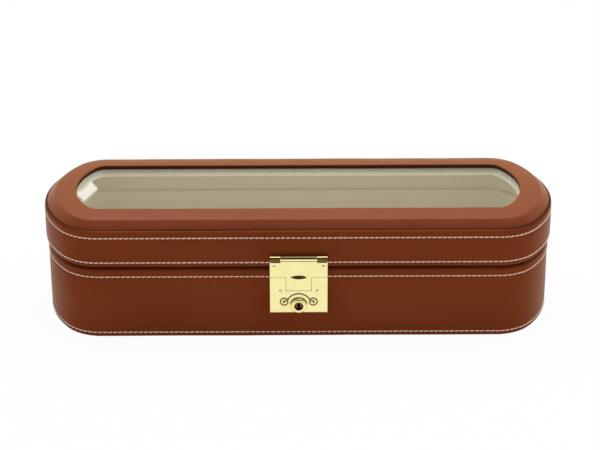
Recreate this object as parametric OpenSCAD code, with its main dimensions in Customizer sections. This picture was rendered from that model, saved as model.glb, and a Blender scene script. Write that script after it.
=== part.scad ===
// Watch box with rounded ends: a leather-covered base and hinged lid, a glass window in a
// raised frame, a lined inside with watch cushions, and a brass hasp lock with a key plug.
// Millimetres, +Z up, the front towards -Y, the origin at the middle of the underside.

/* [Case] */
// Length of the lid over its leather
case_l = 342; // [340:1:400]
// Depth of the lid over its leather, front to back
case_w = 112; // [110:1:118]
// How much larger the radius of the bowed ends is than that of the corners, seen from above
end_extra_r = 42.5; // [38:0.5:48]
// Height of the seam between base and lid
seam_z = 52; // [50:0.5:70]
// Height of the lid's wall, from the seam to its shoulder
lid_wall_h = 27; // [25:0.5:40]
// Gap between the base's rim and the lid's
seam_gap = 0.3; // [0.2:0.05:0.6]
// How far the base's wall stands in from the lid's
base_step = 1.2; // [0.6:0.1:2]
// Thickness of the wrapped leather
leather_t = 1.4; // [1:0.1:1.5]
// Outer radius of the leather where it turns over a rim
rim_r = 3; // [2.4:0.1:3.6]
// Outer radius of the leather at the base's bottom edge
bottom_r = 2; // [1.8:0.1:3]
// Outer radius of the leather at the lid's shoulder
shoulder_r = 1.7; // [1.6:0.05:1.9]
// How far the leather turns in under the base
turn_under = 12; // [8:1:20]
// How far the felt stands below the leather
felt_proud = 0.3; // [0.2:0.1:1]
// Gap between the felt and the turned leather
felt_gap = 0.3; // [0.2:0.1:1]

/* [Inside] */
// Thickness of the base's wall core
base_wall_t = 6.4; // [5.5:0.1:8]
// Thickness of the base board
board_t = 4; // [3:0.5:6]
// Thickness of the lined collar inside the base
collar_t = 2.2; // [1.6:0.1:3]
// Height of the collar above the seam
collar_h = 8.3; // [6:0.1:10]
// Clearance between the collar and the lid's lining
collar_gap = 0.8; // [0.6:0.1:1.4]
// Thickness of the lid's lining
lining_t = 0.8; // [0.5:0.1:1.2]
// Thickness of the pad on the floor
floor_pad_t = 3; // [2:0.5:5]
// Clearance round the pad
pad_gap = 0.3; // [0.3:0.1:1]
// Number of bays for watches
bay_count = 5; // [4:1:6]
// Length of the row of bays, between the middles of the outer dividers
bays_l = 250; // [230:1:252]
// Thickness of a divider
divider_t = 3.6; // [2:0.1:5]
// Height of a divider above the floor pad
divider_h = 36; // [30:1:38]
// Clearance at each end of a divider
divider_gap = 0.3; // [0.3:0.1:1]
// Clearance on each side of a cushion
cushion_side_gap = 0.6; // [0.5:0.1:2]
// Finger room at each end of a cushion
cushion_end_room = 6.8; // [5:0.1:12]
// Clearance under a cushion
cushion_bed_gap = 0.3; // [0.3:0.1:1]
// How far a cushion's top lies below the dividers
cushion_drop = 1; // [0.5:0.5:4]
// Radius of a cushion's long edges
cushion_r = 14; // [8:1:15]

/* [Window] */
// Height of the frame above the lid's shoulder
frame_h = 7; // [6:0.1:10]
// How far the frame's foot stands in from the lid's face
foot_inset = 1.7; // [1:0.1:3]
// Height of the frame's upright foot
foot_h = 0.3; // [0.2:0.1:1]
// Distance from the lid's face to the frame's crease
crease_inset = 7.3; // [6:0.1:10]
// Height of the crease above the shoulder
crease_h = 5.5; // [4.5:0.1:5.8]
// How far the bevel below the crease bulges
bevel_bulge = 0.2; // [0.1:0.1:0.6]
// Distance from the lid's face to the window's edge
window_inset = 21.5; // [19:0.5:24]
// Thickness of the leather on the frame
frame_leather_t = 1.2; // [0.8:0.1:1.3]
// Radius of the frame's edge round the window
window_edge_r = 0.9; // [0.5:0.1:1]
// Thickness of the glass
glass_t = 2; // [1.8:0.1:2.5]
// How far the glass runs in under the frame
glass_lap = 4; // [3:0.1:5]
// Clearance round the glass
glass_gap = 0.3; // [0.2:0.1:0.6]
// Clearance between the glass and the frame above it
glass_top_gap = 0.1; // [0.1:0.05:0.3]
// Height of the glass's underside above the shoulder
glass_seat_h = 2.2; // [1.5:0.1:2.3]
// Thickness of the ring that holds the glass
retainer_t = 2.5; // [2:0.1:4]
// How far that ring shows inside the window's edge
retainer_show = 0.5; // [0.2:0.1:1]

/* [Back hinges] */
// Distance from the middle to each hinge
hinge_x = 85; // [60:1:90]
// Length of a hinge
hinge_l = 30; // [24:1:40]
// Thickness of a leaf
leaf_t = 0.9; // [0.7:0.05:1]
// Radius of the hinge's barrel
barrel_r = 2.2; // [2:0.1:2.4]
// Radius of the hinge's pin
hinge_pin_r = 1; // [0.7:0.05:1.2]
// Running clearance of each hinge pin, on the radius
pin_gap = 0.05; // [0.02:0.01:0.08]
// How far the hinge's axis lies behind the lid's face
hinge_out = 2; // [2:0.1:3]
// Gap between the knuckles
knuckle_gap = 0.2; // [0.1:0.05:0.4]
// Share of the hinge's length that the middle knuckle takes
knuckle_share = 0.36; // [0.3:0.01:0.5]
// Gap between the two leaves when the lid is shut
leaf_gap = 0.1; // [0.08:0.01:0.2]
// Gap between a leaf's edge and the other leaf's knuckle
leaf_edge_gap = 0.3; // [0.2:0.1:0.6]
// Clearance round a leaf in its recess
recess_gap = 0.1; // [0.05:0.05:0.3]
// Radius of a hinge screw's shank
screw_r = 1; // [0.8:0.05:1.1]
// Radius of a hinge screw's head
screw_head_r = 1.8; // [1.5:0.1:2]
// Length of a hinge screw below its leaf
screw_l = 9; // [6:0.5:12]
// Distance between the screws of a leaf
screw_pitch = 10; // [8:0.5:11]
// Clearance round a screw, on the radius
screw_gap = 0.05; // [0.03:0.01:0.1]

/* [Lock] */
// Width of the hasp and of the lock plate
lock_w = 38; // [36:0.5:46]
// Height of the lock plate
lock_h = 26; // [25:0.5:30]
// Thickness of the lock plate's skin
lock_skin = 1; // [0.8:0.1:1.2]
// Thickness of the lock's back plate
lock_back_t = 0.9; // [0.7:0.1:1]
// Clearance round the back plate and the cam
lock_gap = 0.1; // [0.05:0.05:0.2]
// Width of the bevel round the brass plates
plate_bevel = 0.7; // [0.3:0.1:0.9]
// Thickness of the hasp
hasp_t = 1.2; // [1:0.1:1.4]
// Thickness of the leaf that carries the hasp
hasp_leaf_t = 1; // [0.8:0.1:1.3]
// Gap between the hasp and its leaf
hasp_gap = 0.1; // [0.08:0.01:0.2]
// How far the hasp reaches below the seam
hasp_drop = 5.6; // [4:0.1:7]
// Gap between the hasp's lower edge and the lock plate
hasp_foot_gap = 0.2; // [0.15:0.05:0.4]
// Height of the hasp's hinge axis above the seam
hasp_axis_h = 8.1; // [7.5:0.1:10]
// Radius of the hasp's barrel
hasp_barrel_r = 2; // [1.8:0.1:2.1]
// Radius of the hasp's pin
hasp_pin_r = 0.8; // [0.6:0.05:0.9]
// Gap between the hasp's barrel and the lid
hasp_barrel_gap = 0.2; // [0.15:0.05:0.4]
// Half of the length of the hasp's middle knuckle
hasp_knuckle_half = 12; // [10:0.5:13]
// Width of the tongue
tongue_w = 16.6; // [14:0.2:18]
// Length of the tongue below the hasp's edge
tongue_h = 9.8; // [9:0.1:10]
// Clearance round the tongue
tongue_gap = 0.3; // [0.2:0.05:0.4]
// Width of the finger lip
lip_w = 11; // [9:0.5:14]
// How far the finger lip stands out
lip_out = 2.8; // [2:0.1:3.2]
// Thickness of the finger lip
lip_t = 0.8; // [0.5:0.1:1.2]
// Height of the plug's axis above the lock plate's lower edge
plug_up = 5.8; // [5.7:0.1:6.2]
// Radius of the key plug
plug_r = 4.2; // [3.8:0.1:4.5]
// How far the key plug stands out of the lock plate
plug_out = 2.3; // [1.9:0.1:3]
// Running clearance of the key plug, on the radius
plug_gap = 0.06; // [0.03:0.01:0.09]
// Radius of the plug's tail
tail_r = 3.4; // [3:0.1:3.5]
// Length of the plug's tail behind the lock's back plate
tail_l = 4; // [2:0.5:5]
// Clearance round the tail, on the radius
tail_gap = 0.6; // [0.3:0.1:0.8]
// Radius of the keyhole's round recess
keyhole_r = 3.1; // [2.5:0.1:3.2]
// Depth of the keyhole's round recess
keyhole_depth = 1.8; // [1:0.1:2.5]
// Width of the key slot
key_slot_w = 1.5; // [1:0.1:2]
// Depth of the key slot behind the round recess
key_slot_depth = 4.5; // [3:0.5:5]
// Outer radius of the bezel at the lock plate
bezel_r = 6; // [5.6:0.1:6.2]
// Outer radius of the bezel at its front
bezel_top_r = 5; // [4.9:0.1:5.4]
// Height of the bezel
bezel_h = 1.5; // [1:0.1:1.8]
// Distance from the plug's axis to the catch stud
catch_reach = 12; // [11.8:0.1:12.2]
// Radius of the catch stud's neck
catch_r = 0.7; // [0.6:0.1:0.8]
// Radius of the catch stud's head
catch_head_r = 1.4; // [1.2:0.1:1.4]
// Thickness of the catch stud's head
catch_head_t = 0.3; // [0.2:0.05:0.35]
// Clearance between the cam's hook and the catch stud's neck
catch_gap = 0.2; // [0.15:0.05:0.3]
// Width of the cam's arm
cam_arm_w = 2; // [1.6:0.1:2.2]
// Thickness of the cam
cam_t = 0.7; // [0.6:0.05:0.75]
// Thickness of the cam's hook
cam_hook_t = 1.7; // [1.2:0.1:1.8]
// Direction of the cam's arm when unlocked, in degrees
cam_rest_a = -12; // [-13:1:-10]
// Sweep of the cam's hook, in degrees
cam_hook_a = 22; // [18:1:26]
// Distance from the middle to each lock rivet
rivet_x = 12.1; // [12:0.1:14]
// Height of the lock rivets above the plug's axis
rivet_up = 10; // [9.8:0.1:11]
// Radius of a rivet's shank
rivet_r = 0.8; // [0.6:0.1:0.9]
// Radius of a rivet's head
rivet_head_r = 1.3; // [1.1:0.1:1.5]
// Height of a rivet's head
rivet_head_h = 0.35; // [0.2:0.05:0.5]
// Length of the lock rivets in the base's wall
rivet_bite = 4; // [3:0.5:6]
// Distance from the middle to each rivet on the hasp
hasp_rivet_x = 16.2; // [15:0.1:16.5]
// Height of the hasp's rivets above the seam
hasp_rivet_up = 2; // [1.6:0.1:2.5]
// Distance from the middle to each nail of the leaf
nail_x = 10; // [6:0.5:12]
// Height of the leaf's nails above the seam
nail_up = 3.9; // [3.6:0.1:4.2]
// Radius of a nail
nail_r = 0.7; // [0.5:0.05:0.8]
// Radius of a nail's head
nail_head_r = 1.3; // [1:0.1:1.5]
// Thickness of a nail's head
nail_head_t = 0.4; // [0.3:0.05:0.5]
// Length of a nail in the lid's wall
nail_bite = 5; // [4:0.5:6]
// Clearance round rivets and nails, on the radius
nail_gap = 0.05; // [0.03:0.01:0.1]
// Radius of the scroll's wire
scroll_r = 0.5; // [0.35:0.05:0.6]
// Radius of the scroll's arch
arch_r = 8.2; // [7.6:0.1:8.8]
// Direction of the arch's feet, in degrees above the level
arch_foot_a = 27; // [24:1:32]
// Distance from the middle to each volute's centre
volute_x = 9.6; // [9.4:0.1:10.5]
// Height of each volute's centre above the plug's axis
volute_up = 2.3; // [1.5:0.1:2.6]
// Radius of a volute's outer turn
volute_r = 2.6; // [2.4:0.1:2.8]
// Radius of a volute's inner turn
volute_in_r = 1.4; // [1.2:0.1:1.6]

/* [Hidden] */

$fn = 64;
// How far a cut runs past the faces that it opens
over = 1;
// Steps in each rounded edge of an outline
edge_steps = 5;

leather_color = "#683118";
frame_color = "#7f3f28";
lining_color = "#aa9e88";
brass_color = "#eee4a9";
core_color = "#b08a5a";

// Plan of the case: each end is one wide bow between two corner arcs. Their centres lie on a
// triangle with sides of 3, 4 and 5, so that every centre is a short decimal number.
end_half_a = atan2(3, 4);
corner_y = 0.6 * end_extra_r;
corner_r = case_w / 2 - corner_y;
end_r = corner_r + end_extra_r;
end_x = case_l / 2 - end_r;
corner_x = end_x + 0.8 * end_extra_r;
// Arcs of the right end from front to back, each as centre, radius, start and sweep
end_arcs = [
    [corner_x, -corner_y, corner_r, -90, 90 - end_half_a],
    [end_x, 0, end_r, -end_half_a, 2 * end_half_a],
    [corner_x, corner_y, corner_r, end_half_a, 90 - end_half_a]
];

// Heights, from the table up
base_under_z = felt_proud + leather_t;
floor_z = base_under_z + board_t;
bed_z = floor_z + floor_pad_t;
rim_z = seam_z - seam_gap / 2;
lid_rim_z = seam_z + seam_gap / 2;
shoulder_z = seam_z + lid_wall_h;
retainer_z = shoulder_z - retainer_t;
glass_z = shoulder_z + glass_seat_h;
frame_under_z = glass_z + glass_t + glass_top_gap;

// Distances inwards from the lid's face
base_core_in = base_step + leather_t;
collar_out_in = base_core_in + base_wall_t;
collar_in = collar_out_in + collar_t;
lid_lined_in = collar_out_in - collar_gap;
lid_core_in = lid_lined_in - lining_t;
glass_in = window_inset - glass_lap;
rebate_in = glass_in - glass_gap;
retainer_in = window_inset + retainer_show;

// Inside of the base
cavity_half_w = case_w / 2 - collar_in;
bay_pitch = bays_l / bay_count;
cushion_w = bay_pitch - divider_t - 2 * cushion_side_gap;
cushion_half_d = cavity_half_w - cushion_end_room;
cushion_h = divider_h - cushion_drop;

// Back hinges
hinge_y = case_w / 2 + hinge_out;
leaf_edge_y = hinge_y - barrel_r - leaf_edge_gap;
leaf_in_y = case_w / 2 - lid_core_in + leaf_edge_gap;
screw_y = (case_w / 2 - base_core_in + leaf_in_y) / 2;
middle_knuckle = knuckle_share * hinge_l;

// Front of the case and the lock's depths, from the middle of the case
base_face = case_w / 2 - base_step;
lid_face = case_w / 2;
hasp_back = lid_face + hasp_leaf_t + hasp_gap;
plate_face = hasp_back + hasp_t;
lock_depth = plate_face - base_face;
hasp_axis_y = lid_face + hasp_barrel_gap + hasp_barrel_r;
hasp_axis_z = seam_z + hasp_axis_h;
hasp_low_z = seam_z - hasp_drop;
hasp_top_z = hasp_axis_z - hasp_barrel_r - knuckle_gap * 2;
lock_top_z = hasp_low_z - hasp_foot_gap;
lock_low_z = lock_top_z - lock_h;
plug_z = lock_low_z + plug_up;
cam_back = hasp_back - lock_gap - cam_t;
plug_shoulder = plate_face - lock_skin - lock_gap;
hook_in_r = catch_reach + catch_r + catch_gap;
catch_back = cam_back - lock_gap - catch_head_t;

// Depths and widths of small parts, as shares of what they belong to
bevel_slope = 0.7;
catch_seat = hasp_t * 0.6;
pin_head_r = barrel_r * 0.8;
pin_head_t = hinge_pin_r * 0.6;
hasp_leaf_low_z = seam_z + rim_r * 0.5;
key_hole_r = key_slot_w * 0.8;
scroll_bead_h = scroll_r * 1.3;
scroll_tip_r = scroll_r * 1.5;
arch_foot_r = scroll_r * 1.4;
// Share of the frame leather's thickness by which its core draws in at the crease and the window
crease_draw = 0.4;
edge_draw = 0.5;
smallest_edge_r = 0.2;

// Points along a round stretch of an outline
function arc(x, y, r, from, to, steps = edge_steps) = [
    for (i = [0:steps]) let (a = from + (to - from) * i / steps) [x + r * cos(a), y + r * sin(a)]
];

// Points along a shallow bow from one point to another that rises by bulge at its middle
function bow(p, q, bulge, steps) = let (
    chord = norm(q - p),
    r = (chord * chord / 4 + bulge * bulge) / (2 * bulge),
    half = asin(chord / 2 / r),
    out = [q.y - p.y, p.x - q.x] / chord,
    mid = (p + q) / 2 + out * (bulge - r),
    turn = atan2(out.y, out.x)
) [for (i = [0:steps]) let (a = turn - half + 2 * half * i / steps) mid + r * [cos(a), sin(a)]];

// Outline of a rounded box, as points
function rounded_points(low, high, r) = concat(
    arc(high.x - r, low.y + r, r, -90, 0),
    arc(high.x - r, high.y - r, r, 0, 90),
    arc(low.x + r, high.y - r, r, 90, 180),
    arc(low.x + r, low.y + r, r, 180, 270)
);

// Carries an outline along the back, or with -1 along the front: its X runs outwards from the
// lid's face and its Y is the height
module case_run(side) {
    rotate([0, 0, 90 * side])
        translate([case_w / 2, corner_x, 0])
            rotate([90, 0, 0])
                linear_extrude(2 * corner_x)
                    children();
}

// Carries an outline round one arc of the plan
module case_arc(a) {
    translate([a[0], a[1], 0])
        rotate_extrude(angle = a[4], start = a[3])
            translate([a[2], 0])
                children();
}

// Carries an outline round the right end, or turned by 180 round the left
module case_end(turn) {
    rotate([0, 0, turn])
        for (a = end_arcs)
            case_arc(a)
                children();
}

// Carries an outline round the whole case
module round_case() {
    for (side = [-1, 1]) {
        case_run(side)
            children();
        case_end(90 - 90 * side)
            children();
    }
}

// Upright wall round the case between two distances from the lid's face
module wall(out, in, low, high) {
    round_case()
        translate([-in, low])
            square([in - out, high - low]);
}

// Flat plate in the case's shape, with its edge at a distance from the lid's face
module plate(edge, low, high) {
    half_d = case_w / 2 - edge;
    translate([-corner_x, -half_d, low])
        cube([2 * corner_x, 2 * half_d, high - low]);
    for (turn = [0, 180], a = end_arcs)
        rotate([0, 0, turn])
            case_arc(a)
                translate([-a[2], low])
                    square([a[2] - edge, high - low]);
}

// Turns drawings to the front: X stays, Y becomes the height, Z comes forward from a given depth
module to_front(depth, x = 0, z = 0) {
    translate([x, -depth, z])
        rotate([90, 0, 0])
            children();
}

// A pair, mirrored left and right
module both_sides() {
    for (side = [0, 1])
        mirror([side, 0, 0])
            children();
}

// ---- Base ----

module underside_felt() {
    color("#2b2320")
        plate(base_step + turn_under + felt_gap, 0, base_under_z);
}

module base_board() {
    color(core_color)
        plate(collar_out_in, base_under_z, floor_z);
}

module lock_fixing_holes() {
    to_front(base_face + over, 0, plug_z)
        mirror([0, 0, 1]) {
            cylinder(r = tail_r + tail_gap, h = tail_l + over + tail_gap);
            both_sides()
                translate([rivet_x, rivet_up, 0])
                    cylinder(r = rivet_r + nail_gap, h = rivet_bite + over + nail_gap);
        }
}

// Recesses and screw holes for the hinge leaves, in the base's rim or, flipped, in the lid's
module hinge_recesses() {
    for (x = [-hinge_x, hinge_x])
        translate([x, 0, seam_z]) {
            translate([-hinge_l / 2 - recess_gap, leaf_in_y - recess_gap, -leaf_gap / 2 - leaf_t])
                cube([hinge_l + 2 * recess_gap, case_w, leaf_t + over]);
            for (i = [-1:1])
                translate([i * screw_pitch, screw_y, -leaf_gap / 2 - leaf_t - screw_l - screw_gap])
                    cylinder(r = screw_r + screw_gap, h = screw_l + leaf_t);
        }
}

// Turns the base's hinge pieces over to the lid's side of the seam
module over_seam() {
    translate([0, 0, seam_z])
        mirror([0, 0, 1])
            translate([0, 0, -seam_z])
                children();
}

module base_carcass() {
    color(core_color)
        difference() {
            round_case()
                polygon(concat(
                    [[-collar_out_in, base_under_z]],
                    arc(-base_step - bottom_r, felt_proud + bottom_r, bottom_r - leather_t, -90, 0),
                    arc(-base_step - rim_r, rim_z - rim_r, rim_r - leather_t, 0, 90),
                    [[-collar_out_in, rim_z - leather_t]]
                ));
            lock_fixing_holes();
            hinge_recesses();
        }
}

module base_leather() {
    color(leather_color)
        difference() {
            round_case()
                polygon(concat(
                    [[-base_step - turn_under, felt_proud]],
                    arc(-base_step - bottom_r, felt_proud + bottom_r, bottom_r, -90, 0),
                    arc(-base_step - rim_r, rim_z - rim_r, rim_r, 0, 90),
                    [[-collar_out_in, rim_z], [-collar_out_in, rim_z - leather_t]],
                    arc(-base_step - rim_r, rim_z - rim_r, rim_r - leather_t, 90, 0),
                    arc(-base_step - bottom_r, felt_proud + bottom_r, bottom_r - leather_t, 0, -90),
                    [[-base_step - turn_under, base_under_z]]
                ));
            lock_fixing_holes();
            hinge_recesses();
        }
}

module collar_outline() {
    polygon(concat(
        [[-collar_in, floor_z], [-collar_out_in, floor_z]],
        arc(-(collar_in + collar_out_in) / 2, seam_z + collar_h - collar_t / 2, collar_t / 2, 0, 180, 8)
    ));
}

// Straight board of the collar along one side
module collar_board(side) {
    color(lining_color)
        case_run(side)
            collar_outline();
}

// Bent board of the collar round one end, from corner to corner
module collar_end(turn) {
    color(lining_color)
        case_end(turn)
            collar_outline();
}

module floor_pad() {
    color(lining_color)
        plate(collar_in + pad_gap, floor_z, bed_z);
}

module divider(i) {
    half_d = cavity_half_w - divider_gap;
    color(lining_color)
        translate([-bays_l / 2 + (i - 1) * bay_pitch, half_d, bed_z])
            rotate([90, 0, 0])
                linear_extrude(2 * half_d)
                    polygon(concat(
                        [[-divider_t / 2, 0], [divider_t / 2, 0]],
                        arc(0, divider_h - divider_t / 2, divider_t / 2, 0, 180, 8)
                    ));
}

module watch_cushion(i) {
    color(lining_color)
        translate([-bays_l / 2 + (i - 0.5) * bay_pitch - cushion_w / 2, 0, bed_z + cushion_bed_gap])
            rotate([90, 0, 90])
                linear_extrude(cushion_w)
                    polygon(rounded_points([-cushion_half_d, 0], [cushion_half_d, cushion_h], cushion_r));
}

// ---- Back hinges ----

// Leaf below the seam, with its knuckles between the given distances from its middle
module hinge_leaf(x, knuckles) {
    top = -leaf_gap / 2;
    color(brass_color)
        translate([x, 0, seam_z])
            difference() {
                union() {
                    translate([-hinge_l / 2, leaf_in_y, top - leaf_t])
                        cube([hinge_l, leaf_edge_y - leaf_in_y, leaf_t]);
                    for (k = knuckles) {
                        translate([k[0], leaf_in_y, top - leaf_t])
                            cube([k[1] - k[0], hinge_y - leaf_in_y, leaf_t]);
                        translate([k[0], hinge_y, 0])
                            rotate([0, 90, 0])
                                cylinder(r = barrel_r, h = k[1] - k[0]);
                    }
                }
                translate([-hinge_l, hinge_y, 0])
                    rotate([0, 90, 0])
                        cylinder(r = hinge_pin_r + pin_gap, h = 2 * hinge_l);
                for (i = [-1:1])
                    translate([i * screw_pitch, screw_y, top - leaf_t])
                        cylinder(r1 = screw_r + screw_gap, r2 = screw_head_r + screw_gap, h = leaf_t);
            }
}

function outer_knuckles() = [
    [-hinge_l / 2, -middle_knuckle / 2 - knuckle_gap],
    [middle_knuckle / 2 + knuckle_gap, hinge_l / 2]
];

module hinge_base_leaf(x) {
    hinge_leaf(x, outer_knuckles());
}

module hinge_lid_leaf(x) {
    over_seam()
        hinge_leaf(x, [[-middle_knuckle / 2, middle_knuckle / 2]]);
}

// Pin with a low head against each outer knuckle
module hinge_pin(x) {
    color(brass_color)
        translate([x - hinge_l / 2, hinge_y, seam_z])
            rotate([0, 90, 0]) {
                cylinder(r = hinge_pin_r, h = hinge_l);
                for (z = [-pin_head_t, hinge_l])
                    translate([0, 0, z])
                        cylinder(r = pin_head_r, h = pin_head_t);
            }
}

module hinge_base_screws() {
    top = -leaf_gap / 2;
    color(brass_color)
        for (x = [-hinge_x, hinge_x], i = [-1:1])
            translate([x + i * screw_pitch, screw_y, seam_z + top - leaf_t]) {
                cylinder(r1 = screw_r, r2 = screw_head_r, h = leaf_t);
                translate([0, 0, -screw_l])
                    cylinder(r = screw_r, h = screw_l);
            }
}

module hinge_lid_screws() {
    over_seam()
        hinge_base_screws();
}

// ---- Lid ----

module nail_holes() {
    to_front(lid_face + over, 0, seam_z + nail_up)
        both_sides()
            translate([nail_x, 0, -over - nail_bite - nail_gap])
                cylinder(r = nail_r + nail_gap, h = 2 * over + nail_bite);
}

module lid_carcass() {
    color(core_color)
        difference() {
            round_case()
                polygon(concat(
                    [[-lid_core_in, lid_rim_z + leather_t]],
                    arc(-rim_r, lid_rim_z + rim_r, rim_r - leather_t, -90, 0),
                    arc(-shoulder_r, shoulder_z - shoulder_r, shoulder_r - leather_t, 0, 90),
                    [[-lid_core_in, shoulder_z - leather_t]]
                ));
            over_seam()
                hinge_recesses();
            nail_holes();
        }
}

module lid_leather() {
    color(leather_color)
        difference() {
            round_case()
                polygon(concat(
                    [[-lid_core_in, lid_rim_z]],
                    arc(-rim_r, lid_rim_z + rim_r, rim_r, -90, 0),
                    arc(-shoulder_r, shoulder_z - shoulder_r, shoulder_r, 0, 90),
                    [[-lid_core_in, shoulder_z], [-lid_core_in, shoulder_z - leather_t]],
                    arc(-shoulder_r, shoulder_z - shoulder_r, shoulder_r - leather_t, 90, 0),
                    arc(-rim_r, lid_rim_z + rim_r, rim_r - leather_t, 0, -90),
                    [[-lid_core_in, lid_rim_z + leather_t]]
                ));
            over_seam()
                hinge_recesses();
            nail_holes();
        }
}

module lid_lining() {
    color(lining_color)
        wall(lid_core_in, lid_lined_in, lid_rim_z, retainer_z);
}

// Upper line of the frame's section from its foot to the window, drawn in by a thickness
function frame_line(t) = let (
    lean = (frame_h - crease_h) / (window_inset - crease_inset),
    foot = [-foot_inset - t, shoulder_z + foot_h],
    crease = [-crease_inset - t * crease_draw, shoulder_z + crease_h - t],
    edge_r = max(window_edge_r - t * edge_draw, smallest_edge_r),
    top_z = shoulder_z + frame_h - t,
    edge_x = -window_inset + t
) concat(
    [[foot.x, shoulder_z]],
    bow(foot, crease, bevel_bulge, 5),
    [[edge_x + edge_r * 2, top_z - lean * edge_r]],
    arc(edge_x + edge_r, top_z - edge_r, edge_r, 90, 180),
    [[edge_x, frame_under_z]]
);

module top_frame() {
    color(core_color)
        round_case()
            polygon(concat(
                frame_line(frame_leather_t),
                [[-rebate_in, frame_under_z], [-rebate_in, shoulder_z]]
            ));
}

module frame_leather() {
    inner = frame_line(frame_leather_t);
    color(frame_color)
        round_case()
            polygon(concat(
                frame_line(0),
                [for (i = [len(inner) - 1:-1:0]) inner[i]]
            ));
}

module glass_pane() {
    color("#c8d2c8", 0.3)
        plate(glass_in, glass_z, glass_z + glass_t);
}

module glass_retainer() {
    color(lining_color) {
        wall(lid_core_in, retainer_in, retainer_z, shoulder_z);
        wall(glass_in, retainer_in, shoulder_z, glass_z);
    }
}

// ---- Hasp ----

// Plate with bevelled front edges, from its back face forwards
module bevelled_plate(low, high, t, bevel_low = plate_bevel, bevel_high = plate_bevel) {
    intersection() {
        translate([0, high.y, 0])
            rotate([90, 0, 0])
                linear_extrude(high.y - low.y)
                    polygon([
                        [low.x, 0], [high.x, 0], [high.x, t - plate_bevel * bevel_slope],
                        [high.x - plate_bevel, t], [low.x + plate_bevel, t],
                        [low.x, t - plate_bevel * bevel_slope]
                    ]);
        translate([high.x, 0, 0])
            rotate([0, -90, 0])
                linear_extrude(high.x - low.x)
                    polygon([
                        [0, low.y], [t - bevel_low * bevel_slope, low.y], [t, low.y + bevel_low],
                        [t, high.y - bevel_high], [t - bevel_high * bevel_slope, high.y], [0, high.y]
                    ]);
    }
}

module hasp_barrel(from, to) {
    translate([from, -hasp_axis_y, hasp_axis_z])
        rotate([0, 90, 0])
            cylinder(r = hasp_barrel_r, h = to - from);
}

module hasp_pin_bore() {
    translate([-lock_w, -hasp_axis_y, hasp_axis_z])
        rotate([0, 90, 0])
            cylinder(r = hasp_pin_r + pin_gap, h = 2 * lock_w);
}

// Fixed leaf behind the hasp, with the two outer knuckles
module hasp_leaf() {
    half = lock_w / 2;
    inner = hasp_knuckle_half + knuckle_gap;
    top = hasp_axis_z - hasp_barrel_r - knuckle_gap;
    color(brass_color)
        difference() {
            union() {
                translate([-half, -lid_face - hasp_leaf_t, hasp_leaf_low_z])
                    cube([lock_w, hasp_leaf_t, top - hasp_leaf_low_z]);
                both_sides() {
                    translate([inner, -lid_face - hasp_leaf_t, hasp_leaf_low_z])
                        cube([half - inner, hasp_leaf_t, hasp_axis_z - hasp_leaf_low_z]);
                    hasp_barrel(inner, half);
                }
            }
            hasp_pin_bore();
            to_front(lid_face, 0, seam_z + nail_up)
                both_sides()
                    translate([nail_x, 0, 0]) {
                        cylinder(r = nail_r + nail_gap, h = hasp_leaf_t + over);
                        translate([0, 0, hasp_leaf_t - nail_head_t - nail_gap])
                            cylinder(r = nail_head_r + nail_gap, h = over + nail_head_t);
                    }
        }
}

module hasp_leaf_nails() {
    color(brass_color)
        to_front(lid_face, 0, seam_z + nail_up)
            both_sides()
                translate([nail_x, 0, 0]) {
                    translate([0, 0, -nail_bite])
                        cylinder(r = nail_r, h = nail_bite + hasp_leaf_t);
                    translate([0, 0, hasp_leaf_t - nail_head_t])
                        cylinder(r = nail_head_r, h = nail_head_t);
                }
}

module hasp_pin() {
    color(brass_color)
        translate([-lock_w / 2, -hasp_axis_y, hasp_axis_z])
            rotate([0, 90, 0])
                cylinder(r = hasp_pin_r, h = lock_w);
}

// Swinging hasp: middle knuckle, plate, tongue and finger lip
module hasp_plate() {
    half = lock_w / 2;
    lip_r = (lip_w * lip_w / 4 + lip_out * lip_out) / (2 * lip_out);
    color(brass_color)
        difference() {
            union() {
                to_front(hasp_back)
                    bevelled_plate([-half, hasp_low_z], [half, hasp_top_z], hasp_t, 0);
                translate([-hasp_knuckle_half, -hasp_back - hasp_t, hasp_top_z - over])
                    cube([2 * hasp_knuckle_half, hasp_t, hasp_axis_z - hasp_top_z + over]);
                hasp_barrel(-hasp_knuckle_half, hasp_knuckle_half);
                to_front(hasp_back)
                    translate([-tongue_w / 2, hasp_low_z - tongue_h, 0])
                        cube([tongue_w, tongue_h + over, hasp_t]);
                // The finger lip is a low segment of a disc that stands out of the tongue's top
                translate([0, -plate_face, hasp_low_z - lip_t])
                    intersection() {
                        translate([0, lip_r - lip_out, 0])
                            cylinder(r = lip_r, h = lip_t);
                        translate([-lip_w / 2, -lip_out, 0])
                            cube([lip_w, lip_out + hasp_t / 2, lip_t]);
                    }
            }
            hasp_pin_bore();
            to_front(hasp_back - over, 0, plug_z + catch_reach)
                cylinder(r = catch_r + nail_gap, h = catch_seat + over);
            to_front(hasp_back - over, 0, seam_z + hasp_rivet_up)
                both_sides()
                    translate([hasp_rivet_x, 0, 0])
                        cylinder(r = rivet_r + nail_gap, h = hasp_t + 2 * over);
        }
}

module hasp_rivets() {
    color(brass_color)
        to_front(hasp_back, 0, seam_z + hasp_rivet_up)
            both_sides()
                translate([hasp_rivet_x, 0, 0]) {
                    cylinder(r = rivet_r, h = hasp_t);
                    translate([0, 0, hasp_t])
                        cylinder(r1 = rivet_head_r, r2 = rivet_r, h = rivet_head_h);
                }
}

// Headed stud on the tongue's back: the cam's hook passes between its head and the tongue
module hasp_catch() {
    color(brass_color)
        to_front(catch_back, 0, plug_z + catch_reach) {
            cylinder(r = catch_head_r, h = catch_head_t);
            cylinder(r = catch_r, h = hasp_back - catch_back + catch_seat);
        }
}

// ---- Lock ----

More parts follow.
